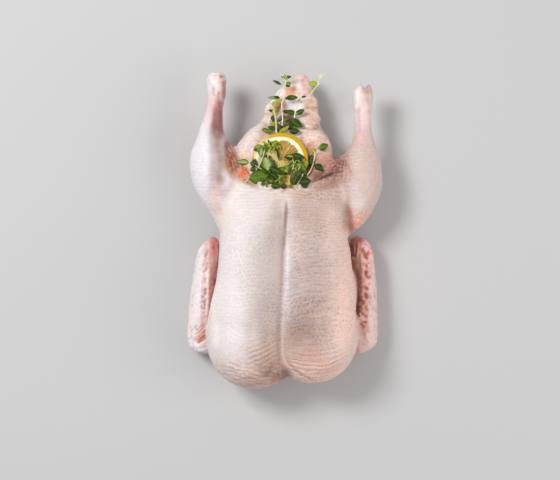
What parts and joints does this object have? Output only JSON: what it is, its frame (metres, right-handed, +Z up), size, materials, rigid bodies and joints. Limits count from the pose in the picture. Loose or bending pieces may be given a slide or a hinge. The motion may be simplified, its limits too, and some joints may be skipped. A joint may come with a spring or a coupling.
{
  "type": "whole raw duck",
  "caption": "Whole oven-ready raw duck lying on its back, breast up, with a lemon slice and fresh herb sprigs in the open vent.",
  "frame": {"origin": "on the surface the duck lies on, under the middle of its overall box", "axes": "+Z up through the breast, +Y from the neck end to the tail and the leg ends, +X across the bird"},
  "size_m": [0.2049, 0.3316, 0.0978],
  "materials": {
    "duck_skin": "satin",
    "lemon": "satin",
    "herb_leaf": "satin"
  },
  "bodies": {
    "root": {"duck": "duck_skin", "lemon_slice": "lemon", "herb_bunch": "herb_leaf", "herb_sprigs": "herb_leaf"}
  },
  "joints": []
}
